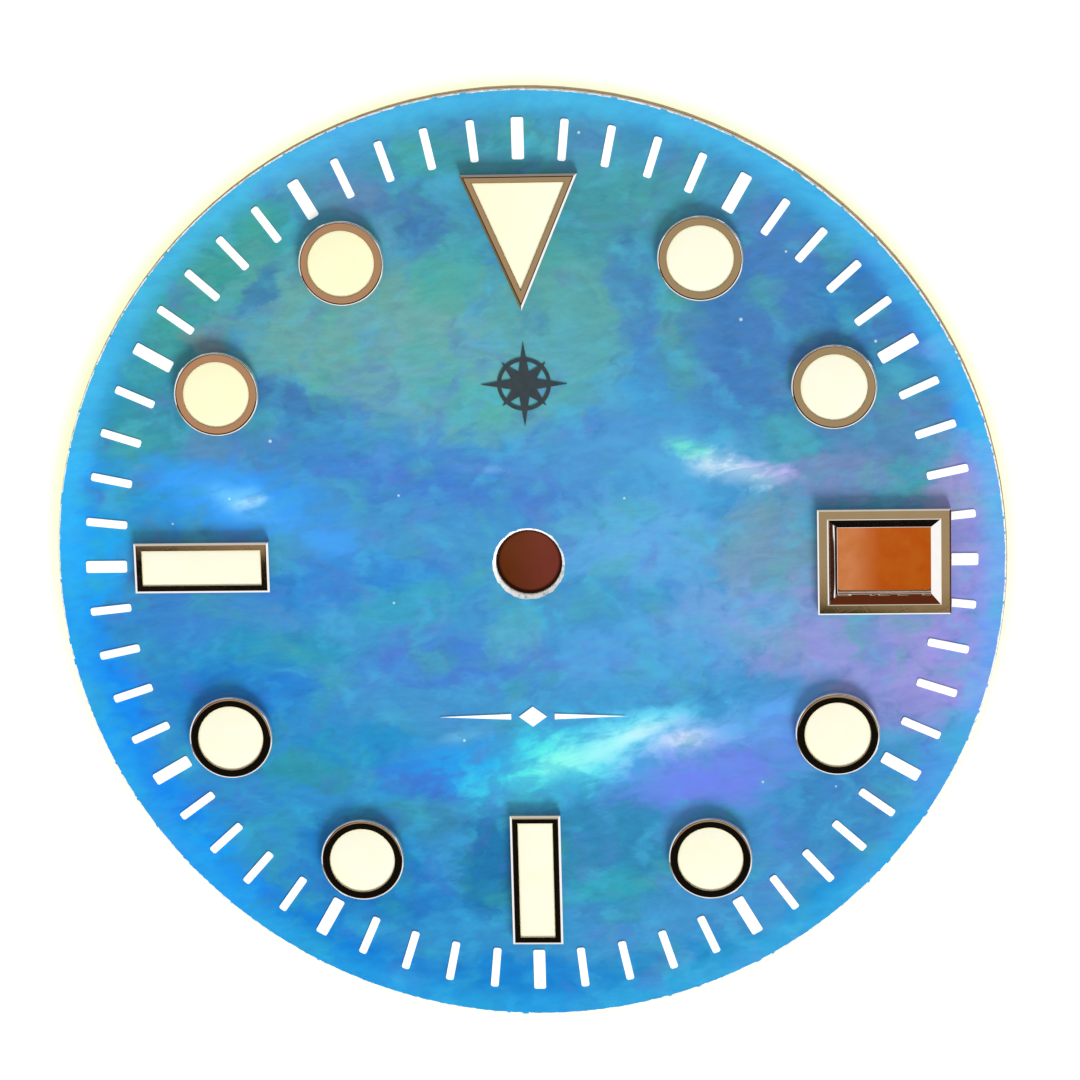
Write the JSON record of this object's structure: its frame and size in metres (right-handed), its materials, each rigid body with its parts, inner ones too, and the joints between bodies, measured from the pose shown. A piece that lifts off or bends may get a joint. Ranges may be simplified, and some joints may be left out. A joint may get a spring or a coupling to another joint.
{
  "type": "watch dial",
  "caption": "Mother-of-pearl watch dial on a brass plate, with applied luminous hour markers, a printed minute track, a framed date window and dial feet.",
  "frame": {"origin": "on the axis of the centre hole, at the underside of the brass plate", "axes": "+Z out of the face along the centre hole, +Y towards 12 o'clock, +X towards 3 o'clock"},
  "size_m": [0.0285, 0.0284, 0.0026],
  "materials": {
    "brass_plate": "fine circular grain",
    "adhesive_film": "matte",
    "lacquered_pearl": "iridescent under clear lacquer",
    "polished_rims": "mirror polish",
    "luminous_paste": "fine grained, matte",
    "white_ink": "satin",
    "dark_ink": "satin",
    "copper_feet": "drawn copper wire"
  },
  "bodies": {
    "root": {"base_plate": "brass_plate", "bonding_film": "adhesive_film", "date_frame": "polished_rims", "dial_foot_1": "copper_feet", "dial_foot_2": "copper_feet", "dial_foot_3": "copper_feet", "dial_foot_4": "copper_feet", "divider_print": "white_ink", "emblem_print": "dark_ink", "hour_marks": "white_ink", "marker_01_frame": "polished_rims", "marker_01_lume": "luminous_paste", "marker_02_frame": "polished_rims", "marker_02_lume": "luminous_paste", "marker_04_frame": "polished_rims", "marker_04_lume": "luminous_paste", "marker_05_frame": "polished_rims", "marker_05_lume": "luminous_paste", "marker_06_frame": "polished_rims", "marker_06_lume": "luminous_paste", "marker_07_frame": "polished_rims", "marker_07_lume": "luminous_paste", "marker_08_frame": "polished_rims", "marker_08_lume": "luminous_paste", "marker_09_frame": "polished_rims", "marker_09_lume": "luminous_paste", "marker_10_frame": "polished_rims", "marker_10_lume": "luminous_paste", "marker_11_frame": "polished_rims", "marker_11_lume": "luminous_paste", "marker_12_frame": "polished_rims", "marker_12_lume": "luminous_paste", "minute_marks": "white_ink", "pearl_disc": "lacquered_pearl"}
  },
  "joints": []
}
